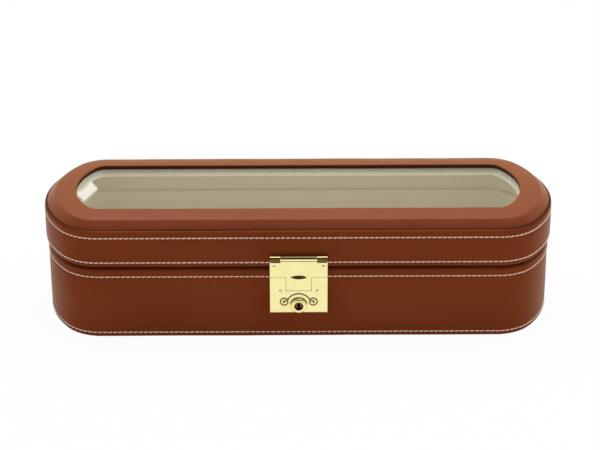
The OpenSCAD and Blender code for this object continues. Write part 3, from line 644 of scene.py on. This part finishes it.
def stitch_pitch(inset):
    """How many stitches go round the wall, and their exact spacing."""
    stitches = round(round_length(inset) / PITCH)
    return stitches, round_length(inset) / stitches


for part, inset in (("base", BASE_IN), ("lid", 0.0)):
    print("%s rows: %d stitches of %.2f mm" % (part, *stitch_pitch(inset)))

# %% Measure the relief
CROWN, UNEVEN = 0.22, 0.05
VALLEY, VALLEY_HALF = 0.34, 0.85
HOLE, HOLE_R = 0.30, 0.5
JOINT, JOINT_HALF = 0.3, 0.2
LOCK_HALF, LOCK_FADE = 19.0, 14


def stitch_relief(s, z, rows, pitch):
    """How far the wall stands out, in mm, at distances s and heights z round its stitch rows."""
    panel = np.clip((z - rows[0]) / (rows[1] - rows[0]), 0, 1)
    out = CROWN * np.sin(np.pi * panel) ** 0.7
    out = out + UNEVEN * (np.sin(s / 31 + z / 9) + np.sin(s / 17 - z / 13 + 1.3))
    off_hole = np.abs((s / pitch + 0.5) % 1 - 0.5) * pitch
    for row in rows:
        out = out - VALLEY * np.exp(-((z - row) / VALLEY_HALF) ** 2)
        out = out - HOLE * np.exp(-(off_hole / HOLE_R) ** 2 - ((z - row) / HOLE_R) ** 2)
    return out


def flat_behind_lock(relief, face, facing):
    """The relief, fading out towards the lock, with the hollows beside it deeper."""
    off_middle = np.abs(face[:, :1])
    front = (facing[:, 1:] < -0.99) & (off_middle < LOCK_HALF + LOCK_FADE + 1)
    free = np.clip((off_middle - LOCK_HALF - 0.5) / LOCK_FADE, 0, 1) ** 2
    return np.where(front, np.minimum(relief, 0) * free + relief * free, relief)


def back_joint(s, inset):
    """1 at the joint in the middle of the back, 0 away from it."""
    return np.exp(-(np.minimum(s, round_length(inset) - s) / JOINT_HALF) ** 2)


at_hole = stitch_relief(0.0, LID_ROWS[0], LID_ROWS, PITCH)
print("relief at the lid's first needle hole:", round(at_hole, 2), "mm")

# %% Let in the hinges and paint light and shade on the wall
LEAF_FLOOR = 0.95


def let_in_hinges(points, inward):
    """Moves the rim to the floor of each hinge's recess; inward is 1 on the lid, -1 on the base."""
    x, y, z = (points[..., i] for i in range(3))
    floor = SEAM + inward * LEAF_FLOOR
    at_hinge = (np.abs(np.abs(x) - HINGE_X) < HINGE_HALF) & (y > 48.0)
    cut = at_hinge & ((z - floor) * inward < 0) & (abs(z - SEAM) < 3)
    points[..., 2] = np.where(cut, floor, z)


def wall_light_and_joint(z, relief, joint, facing):
    """0 for deepest painted shade to 1 for brightest painted highlight, 0.5 for plain leather."""
    # Painted shade in the seam, in needle holes and at the top of the ends under the frame; a
    # darker line at the joint; a painted highlight where the wall crowns out
    seam = np.clip(1 - np.abs(z - SEAM) / 2.4, 0, 1)
    holes = np.clip(-relief - 0.30, 0, 0.4) / 0.4
    shoulder = np.exp(-((z - SHOULDER) / 1.1) ** 2) * np.abs(facing[:, :1]) ** 0.7
    worn = 0.5 - 0.5 * seam - 0.4 * holes - 0.4 * joint - 0.42 * shoulder
    return np.clip(worn + 0.12 * np.clip(relief / 0.3, 0, 1), 0, 1)


print("leaf floors at", SEAM - LEAF_FLOOR, "and", SEAM + LEAF_FLOOR, "mm")

# %% Wrap the base and the lid
def wrap(name, outline, inset, rows, body, node):
    """A stitched skin round the case, let in for the hinge leaves and flat under the lock."""
    stitches, pitch = stitch_pitch(inset)
    columns = stitches * COLUMNS_A_STITCH
    distances = place_columns(inset, columns, [*hinge_edges(), *BESIDE_JOINT])
    face, facing = stand(distances, inset)
    insets, heights, lean_in, lean_up = (np.array(v)[None, :] for v in zip(*outline))
    s = distances[:, None]
    joint = back_joint(s, inset)
    relief = flat_behind_lock(stitch_relief(s, heights, rows, pitch), face, facing)
    relief = relief - JOINT * joint
    points = points_at(face, facing, insets + relief * lean_in, heights + relief * lean_up)
    let_in_hinges(points, np.sign(rows[0] - SEAM))
    worn = wall_light_and_joint(points[..., 2], relief, joint, facing)
    faces = ring_faces(len(distances), len(outline))
    add_mesh(name, points, faces, wall_leather, body, [node], worn)


wrap("base_skin", base_outline, BASE_IN, BASE_ROWS, "base", "base_leather")
wrap("lid_skin", lid_outline, 0.0, LID_ROWS, "lid", "lid_leather")

# %% [markdown]
# ## Stitches
# Each stitch is a short piece of thread that comes up through one hole, lies on the leather and
# goes down through the next, leaning a little as a lock stitch does. One stitch could be repeated
# along a curve by an Array modifier, but at the tight corners it would miss its holes. So each is
# its own tube of a few rings, whose middle line rises and falls from one hole to the next, laid
# along the same plan as the skin. A row stops where the brass covers it.

# %% Shape one stitch
THREAD_R = 0.5
SIDES = 6
ALONG = np.array([0.0, 0.1, 0.26, 0.5, 0.74, 0.9, 1.0])
DEEP, LIFT, LEAN = -0.42, 0.46, 0.16
HOLE_SHARE = 0.04
SHORTEST = 0.9


def stitch_rings(s0, s1, inset, row):
    """Rings of one stitch, in mm: the thread rises from its hole, lies flat and sinks again."""
    s = s0 + (s1 - s0) * ALONG
    face, facing = stand(s, inset)
    rise = np.sin(np.pi * ALONG) ** 0.55
    thick = THREAD_R * (0.55 + 0.45 * rise)
    middle = DEEP + LIFT * rise
    lean = LEAN * (0.5 - ALONG) * 2
    turn = np.arange(SIDES) * 2 * np.pi / SIDES
    out = middle[:, None] + thick[:, None] * np.cos(turn)
    high = row + lean[:, None] + thick[:, None] * np.sin(turn)
    return points_at(face, facing, inset - out, high)


def tube_faces(first, rings, sides):
    """Faces of a tube with closed ends, whose points start at a number."""
    faces = []
    for i in range(rings - 1):
        for j in range(sides):
            a, b = first + i * sides + j, first + i * sides + (j + 1) % sides
            faces.append((a, b, b + sides, a + sides))
    last = first + (rings - 1) * sides
    faces.append(tuple(range(first, first + sides)))
    faces.append(tuple(range(last + sides - 1, last - 1, -1)))
    return faces


print("one stitch has", len(tube_faces(0, len(ALONG), SIDES)), "faces")

# %% Sew the rows
def clear_of_lock(s0, s1, middle):
    """Ends of a stitch, cut off at the lock's edge, or None if too little of it is left."""
    edge = LOCK_HALF + 0.2
    if abs(middle - s0) < edge:
        s0 = middle + edge
    if abs(middle - s1) < edge:
        s1 = middle - edge
    return (s0, s1) if s1 - s0 >= SHORTEST else None


def sew(name, rows, inset, body, covered):
    """All stitches of two rows as one piece; covered is the row that the lock lies over."""
    stitches, pitch = stitch_pitch(inset)
    points, faces = [], []
    for row in rows:
        for k in range(stitches):
            ends = (k + HOLE_SHARE) * pitch, (k + 1 - HOLE_SHARE) * pitch
            if row == covered:
                ends = clear_of_lock(*ends, round_length(inset) / 2)
            if ends:
                faces.extend(tube_faces(len(points), len(ALONG), SIDES))
                points.extend(stitch_rings(*ends, inset, row).reshape(-1, 3))
    add_mesh(name, points, faces, cream_thread, body)


sew("base_stitches", BASE_ROWS, BASE_IN, "base", covered=BASE_ROWS[1])
sew("lid_stitches", LID_ROWS, 0.0, "lid", covered=LID_ROWS[0])

# %% [markdown]
# ## The raised frame
# A separate strip of leather is drawn over a shaped wooden ring round the window. Its outline has
# a low foot, a nearly straight bevel, a crease, a top that rises slightly and a small roll at the
# glass. A Bevel modifier could round the edges of a plain ring, all by the same amount. Leather
# under tension bends more softly where it has more room, so the outline is a bent line with its
# corners cut off three times over.

# %% Shape the frame's outline
FOOT, CREASE, WINDOW = (1.7, 79.3), (7.3, 84.5), 21.5
FRAME_TOP, GLASS_TOP = 86.0, 83.3


def along(points, steps):
    """Points spaced evenly along a bent line, smoothed at its bends, with the way each faces."""
    line = np.array(points, float)
    for _ in range(3):
        cut = [line[0]]
        for a, b in zip(line[:-1], line[1:]):
            cut += [a * 0.75 + b * 0.25, a * 0.25 + b * 0.75]
        line = np.array(cut + [line[-1]])
    gone = np.concatenate([[0], np.cumsum(np.linalg.norm(np.diff(line, axis=0), axis=1))])
    at = np.linspace(0, gone[-1], steps)
    even = np.stack([np.interp(at, gone, line[:, i]) for i in (0, 1)], 1)
    way = np.gradient(even, axis=0)
    way /= np.linalg.norm(way, axis=1)[:, None]
    return [(p[0], p[1], -w[1], w[0]) for p, w in zip(even, way)]


frame_outline = along([
    (FOOT[0] + 0.5, SHOULDER), (FOOT[0] + 0.1, SHOULDER), (FOOT[0], FOOT[1]), (2.3, 79.95),
    (4.2, 81.75), (6.2, 83.6), (CREASE[0] - 0.3, CREASE[1] - 0.12),
    (CREASE[0] + 0.5, CREASE[1] + 0.12), (13.5, 85.3), (18.5, 85.78), (20.4, FRAME_TOP - 0.05),
    (21.3, FRAME_TOP - 0.2), (WINDOW, 85.0), (WINDOW, GLASS_TOP),
], 48) + still([(20.3, GLASS_TOP), (20.2, 84.7), (8.0, 83.2), (3.1, 79.5), (3.0, SHOULDER)])
print("frame outline points:", len(frame_outline))

# %% Wrap the frame
FRAME_COLUMNS = 480
FRAME_CROWN, FRAME_UNEVEN, FRAME_RIPPLE, FRAME_JOINT = 0.12, 0.05, 0.035, 0.1
ROLL_TOP, ROLL_INNER = 20.9, 21.1


def frame_relief(s, insets, joint):
    """How far the frame's leather stands out, in mm: a crowned top, slow waves and the joint."""
    flat = np.clip((insets - CREASE[0] - 1) / (WINDOW - CREASE[0] - 3), 0, 1)
    relief = FRAME_CROWN * np.sin(np.pi * flat) + FRAME_UNEVEN * np.sin(s / 23 + insets / 5)
    relief = relief + FRAME_RIPPLE * np.sin(s / 7.5 - insets / 2.2 + 0.8)
    return relief - FRAME_JOINT * joint


def frame_light_and_joint(insets, heights, facing, joint):
    """Painted highlight at the crease and on the roll; painted shade at the foot, inside the roll
    and low on the front and back bevels; darker at the joint.
    """
    near_crease = np.exp(-((insets - CREASE[0]) / 0.7) ** 2) * (heights > 83)
    near_glass = np.exp(-((insets - ROLL_TOP) / 0.5) ** 2)
    foot = np.clip(1 - (heights - SHOULDER) / 0.7, 0, 1) * (0.35 + 0.65 * np.abs(facing[:, :1]))
    inner = np.clip((insets - ROLL_INNER) / 0.3, 0, 1)
    down = np.clip((CREASE[0] - insets) / (CREASE[0] - FOOT[0]), 0, 1) ** 1.3
    worn = 0.5 + 0.06 * near_crease + 0.2 * near_glass - 0.5 * foot - 0.12 * joint - 0.5 * inner
    return np.clip(worn - 0.25 * down * np.abs(facing[:, 1:]), 0, 1)


def wrap_frame():
    distances = place_columns(CREASE[0], FRAME_COLUMNS, BESIDE_JOINT)
    face, facing = stand(distances, CREASE[0])
    insets, heights, lean_in, lean_up = (np.array(v)[None, :] for v in zip(*frame_outline))
    s = distances[:, None]
    joint = back_joint(s, CREASE[0])
    relief = frame_relief(s, insets, joint)
    points = points_at(face, facing, insets + relief * lean_in, heights + relief * lean_up)
    worn = frame_light_and_joint(insets, heights, facing, joint)
    faces = ring_faces(len(distances), len(frame_outline))
    add_mesh(
        "frame_skin", points, faces, frame_hide, "lid", ["frame_leather"], worn
    )


wrap_frame()

# %% [markdown]
# ## Floor pad
# The base is lined with a thin pad under the dividers. It could be filled by a cloth simulation,
# as the cushions below are, but a pad glued down all over barely swells. It is a crowned sheet
# that fills the plan of the case: rows of points run from a spine along the middle out to the
# collar, where the pad turns down, and come back underneath.

# %% Fill the plan with a pad
PAD_LOW, PAD_TOP, PAD_IN, PAD_COLUMNS = 5.75, 8.68, 11.3, 360
# From the spine out to the edge and back: how far out each row lies, and how far below the top
PAD_SHARES = [0, *np.linspace(0.15, 0.9, 10), 0.95, 0.98, 1, 1, 0.97, 0.5, 0]
PAD_DROPS = [*np.zeros(11), 0.12, 0.45, 1.1, *np.full(4, PAD_TOP - PAD_LOW)]


def floor_pad():
    distances = place_columns(PAD_IN, PAD_COLUMNS)
    face, facing = stand(distances, PAD_IN)
    edge = face - PAD_IN * facing
    spine = np.stack([np.clip(edge[:, 0], -END_X, END_X), 0 * edge[:, 0]], 1)
    shares, drops = np.array(PAD_SHARES), np.array(PAD_DROPS)
    flat = spine[:, None] + shares[None, :, None] * (edge - spine)[:, None]
    soft = 0.1 * (np.sin(flat[..., 0] / 9.5) + np.sin(flat[..., 1] / 7 + flat[..., 0] / 21)) - 0.2
    top = np.where(drops < 2, PAD_TOP - drops + soft, PAD_LOW)
    points = np.concatenate([flat, top[..., None]], -1)
    columns, rows = len(distances), len(shares)
    faces = []
    for c in range(columns):
        a, b = c * rows, (c + 1) % columns * rows
        faces += [(a + r, b + r, b + r + 1, a + r + 1) for r in range(rows - 1)]
    made = add_mesh(
        "velvet_floor_pad", points, faces, lining_velvet, "base", ["floor_pad"]
    )
    work = bmesh.new()
    work.from_mesh(made.data)
    bmesh.ops.remove_doubles(work, verts=work.verts, dist=0.00001)
    bmesh.ops.recalc_face_normals(work, faces=work.faces)
    work.to_mesh(made.data)
    work.free()


floor_pad()

# %% [markdown]
# ## Watch cushions
# A watch is strapped round a cushion of pile, stuffed firmly and piped at both ends. Rounded boxes
# could stand for the five, but stuffing pushes a cushion's faces out and leaves its corners pulled
# in, which a cloth simulation does by itself. A smaller copy of one CAD block is remeshed into
# small even cells, and pressure blows it up from inside with gravity off. No point may move
# further than a set distance. Afterwards it is fitted to the space of the block, and a piped welt
# is laid round each end, a little inside it.

# %% Blow up a cushion
CELL, SWELL, FILLING, FRAMES = 0.003, 0.0024, 4.0, 20
UNFILLED = 0.93


def middle_of(block):
    return sum((Vector(corner) for corner in block.bound_box), Vector()) / 8


def remeshed(source, scale):
    """A small copy of a block about its own middle, in even cells."""
    mesh = source.data.copy()
    mesh.transform(Matrix.Scale(scale, 4) @ Matrix.Translation(-middle_of(source)))
    block = bpy.data.objects.new("block", mesh)
    bpy.context.scene.collection.objects.link(block)
    cells = block.modifiers.new("cells", "REMESH")
    cells.mode = "VOXEL"
    cells.voxel_size = CELL
    view = bpy.context.evaluated_depsgraph_get()
    made = bpy.data.meshes.new_from_object(block.evaluated_get(view))
    bpy.data.objects.remove(block)
    return made


def blown_up(mesh):
    """Positions of a mesh's points after it has been filled, each held to the cap."""
    bag = bpy.data.objects.new("bag", mesh)
    bpy.context.scene.collection.objects.link(bag)
    cloth = bag.modifiers.new("cloth", "CLOTH")
    cloth.settings.quality = 6
    cloth.settings.use_pressure = True
    cloth.settings.uniform_pressure_force = FILLING
    cloth.settings.effector_weights.gravity = 0
    cloth.point_cache.frame_start = 1
    cloth.point_cache.frame_end = FRAMES
    for step in range(1, FRAMES + 1):
        bpy.context.scene.frame_set(step)
    view = bpy.context.evaluated_depsgraph_get()
    filled = bag.evaluated_get(view).data
    before = np.array([v.co for v in mesh.vertices])
    moved = np.array([v.co for v in filled.vertices]) - before
    bpy.data.objects.remove(bag)
    bpy.context.scene.frame_set(1)
    size = np.linalg.norm(moved, axis=1, keepdims=True)
    return before + moved * np.minimum(1, SWELL / np.maximum(size, 1e-9))


pillow = remeshed(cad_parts["watch_cushion_1"], UNFILLED)
filled_points = blown_up(pillow)
print("a filled cushion measures", np.round(np.ptp(filled_points, axis=0) / MM, 1), "mm")

# %% Lay the welts
CUSHION_BOX = np.array((45.2, 76.0, 35.0)) * MM
WELT_X, WELT_R = 0.0193, 0.0011
OUTSIDE = 0.2


def welt(tree, x):
    """Points and faces of a piped cord that lies on a cushion all the way round, at one x."""
    sides, steps = 6, 72
    rings = []
    for turn in np.linspace(0, 2 * np.pi, steps, endpoint=False):
        way = Vector((0, math.cos(turn), math.sin(turn)))
        hit = tree.ray_cast(way * OUTSIDE + Vector((x, 0, 0)), -way)[0]
        for side in range(sides):
            lean = 2 * math.pi * side / sides
            rings.append(hit + WELT_R * (way * math.cos(lean) + Vector((math.sin(lean), 0, 0))))
    return rings, ring_faces(steps, sides)


def with_welts(mesh, points):
    """Points in mm and faces of a filled cushion and its welts, fitted to the cushion's box."""
    low, high = points.min(0), points.max(0)
    points = (points - (high + low) / 2) * (CUSHION_BOX - 2 * WELT_R) / (high - low)
    faces = [tuple(face.vertices) for face in mesh.polygons]
    tree = BVHTree.FromPolygons([Vector(p) for p in points], faces)
    for x in (-WELT_X, WELT_X):
        rings, more = welt(tree, x)
        first = len(points)
        points = np.concatenate([points, np.array(rings)])
        faces += [tuple(first + i for i in face) for face in more]
    return points / MM, faces


shape, shape_faces = with_welts(pillow, filled_points)
print("with its welts it has", len(shape_faces), "faces")

# %% Place five cushions
def watch_cushions():
    rng = np.random.default_rng(5)
    for number in range(1, 6):
        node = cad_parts[f"watch_cushion_{number}"]
        wave = rng.uniform(0, 6, 3)
        slack = 0.18 * np.sin(shape @ np.array([[0.11, 0.05, 0.16]]).T + wave[0])
        slack = slack + 0.12 * np.sin(shape @ np.array([[-0.2, 0.13, 0.07]]).T + wave[1])
        flip = np.array([(-1) ** number, (-1) ** (number // 2), 1])
        points = shape * (1 - 0.006 * (1 + slack)) * flip + np.array(middle_of(node)) / MM
        made = add_mesh(f"velvet_cushion_{number}", points, shape_faces, lining_velvet,
                        f"cushion_{number}", [node.name])
        smooth = made.modifiers.new("smooth", "SUBSURF")
        smooth.levels = smooth.render_levels = 1


watch_cushions()

# %% [markdown]
# ## Finishes for the boards, the brass and the glass
# What is left are felt, boards, linings on boards, brass fittings and the pane. They could be
# built again with softer edges, but their CAD meshes have the right shape already, so they only
# change their material. The nodes that a skin, the pad or a cushion stands for are hidden.

# %% Dress the CAD nodes
def dress(finish, *names):
    """Gives CAD nodes a finish; a name that ends in * stands for all names that begin so."""
    done = []
    for name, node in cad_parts.items():
        if any(name == n or (n.endswith("*") and name.startswith(n[:-1])) for n in names):
            node.data.materials.clear()
            node.data.materials.append(finish)
            done.append(name)
    print(finish.name, "on", ", ".join(done))


dress(felt, "underside_felt")
dress(board, "base_board", "base_carcass", "lid_carcass", "top_frame")
dress(lining_velvet, "collar_*", "floor_pad", "divider_*", "lid_lining", "watch_cushion_*")
dress(lit_ring_velvet, "glass_retainer")
dress(window_glass, "glass_pane")
dress(plate_brass, "lock_plate", "lock_rivets", "hasp_pin", "hasp_rivets")
dress(hasp_brass, "hasp_plate")
dress(knuckle_brass, "hasp_leaf")
dress(plug_brass, "key_plug")
dress(scroll_brass, "lock_scroll")
dress(bezel_brass, "lock_bezel")
dress(inner_brass, "hinge_*", "lock_back_plate", "lock_cam", "hasp_leaf_nails", "hasp_catch")

# %% [markdown]
# ## Floor and light
# A white table in front of a white wall, in a room that is dark behind the camera. A picture of a
# room could light it all, but then its white would also set how bright the leather is. Here matt
# surfaces get a softer share of white, most of it from the two sides, and a lamp above. What
# brass, glass and gloss mirror matters more: the table and the wall behind at full white, and the
# dark room in front and above, which draws the dark bands that make round brass look like metal.
# The table is clear from below, so that the felt can be looked at, and lies a hair under the box.
# The wall is a warm white in reflections. A small bright window far behind is mirrored in the left
# end of the glass.

# %% Build the room
WARM_WALL = (1, 0.92, 0.6, 1)
DARK_ROOM = (0.05, 0.035, 0.025, 1)


def white_room(strength):
    """A world that lights softly by its strength, and is plain white where it is seen."""
    world = bpy.data.worlds.new("room")
    world.use_nodes = True
    world.node_tree.nodes.clear()
    start = Wire(world.node_tree)
    seen = start.node("LightPath", out="Is Camera Ray")
    mirrored = start.node("LightPath", out="Is Glossy Ray")
    through = start.node("LightPath", out="Is Transmission Ray")
    way = start.node("TexCoord", out="Generated")
    across, back, up = (start.node("SeparateXYZ", sockets={"Vector": way}, out=a) for a in "XYZ")
    gloom = back.rise(0.25, -0.05) * up.rise(0.04, 0.2) * mirrored
    bright = seen.larger(mirrored.larger(through))
    sides = mix(across * across, (0.7, 0.7, 0.7, 1), (1.9, 1.9, 1.9, 1))
    soft = start.node("Background", sockets={"Color": sides, "Strength": strength})
    white = start.node("Background", sockets={
        "Color": mix(gloom, mix(mirrored, (1, 1, 1, 1), WARM_WALL), DARK_ROOM), "Strength": 1.0,
    })
    start.node("OutputWorld", sockets={"Surface": mix_shaders(bright, soft, white)})
    bpy.context.scene.world = world


white_room(strength=0.5)
print("world:", bpy.context.scene.world.name)

# %% Lay the floor
def white_floor(size, share, drop):
    """A square floor; share tells how much of its own white hides the shadow on it."""
    made, start = new_finish("white_floor")
    matt = start.node("BsdfDiffuse", sockets={"Color": (0.86, 0.86, 0.86, 1)})
    plain = start.node("Emission", sockets={"Color": (1, 1, 1, 1), "Strength": 1.0})
    seen = start.node("LightPath", out="Is Camera Ray")
    mirrored = start.node("LightPath", out="Is Glossy Ray")
    from_above = mix_shaders(seen.larger(mirrored) * share, matt, plain)
    clear = start.node("BsdfTransparent")
    from_below = start.node("NewGeometry", out="Backfacing")
    start.node("OutputMaterial", sockets={"Surface": mix_shaders(from_below, from_above, clear)})
    mesh = bpy.data.meshes.new("floor")
    corners = [(x * size, y * size, -drop) for x, y in ((-1, -1), (1, -1), (1, 1), (-1, 1))]
    mesh.from_pydata(corners, [], [(0, 1, 2, 3)])
    mesh.materials.append(made)
    floor = bpy.data.objects.new("floor", mesh)
    bpy.context.scene.collection.objects.link(floor)


white_floor(size=4.0, share=0.95, drop=0.1 * MM)
print("floor corner at", [round(c, 5) for c in bpy.data.meshes["floor"].vertices[0].co])

# %% Hang the lamps
def soft_lamp(name, place, aim, size, watts, lean=0.0):
    """A soft box that shines from a place towards a point, leaning by an angle in degrees."""
    light = bpy.data.lights.new(name, "AREA")
    light.shape = "RECTANGLE"
    light.size, light.size_y = size
    light.energy = watts
    lamp = bpy.data.objects.new(name, light)
    way = Vector(aim) - Vector(place)
    turn = way.to_track_quat("-Z", "Y").to_matrix() @ Matrix.Rotation(math.radians(lean), 3, "Z")
    lamp.matrix_world = Matrix.Translation(place) @ turn.to_4x4()
    bpy.context.scene.collection.objects.link(lamp)


soft_lamp("top_light", (0.1, 0.35, 1.3), (0, 0, 0), (1.6, 1.2), 16)
soft_lamp("far_window", (-0.294, 1.354, 0.709), (-0.14, 0.0, 0.083), (0.027, 0.014), 0.003, 40)
bpy.context.scene.view_settings.view_transform = "Standard"

# %% [markdown]
# ## Sizes
# Padding and thread stand a little proud of the CAD box. A view can't show a difference of a
# millimetre.
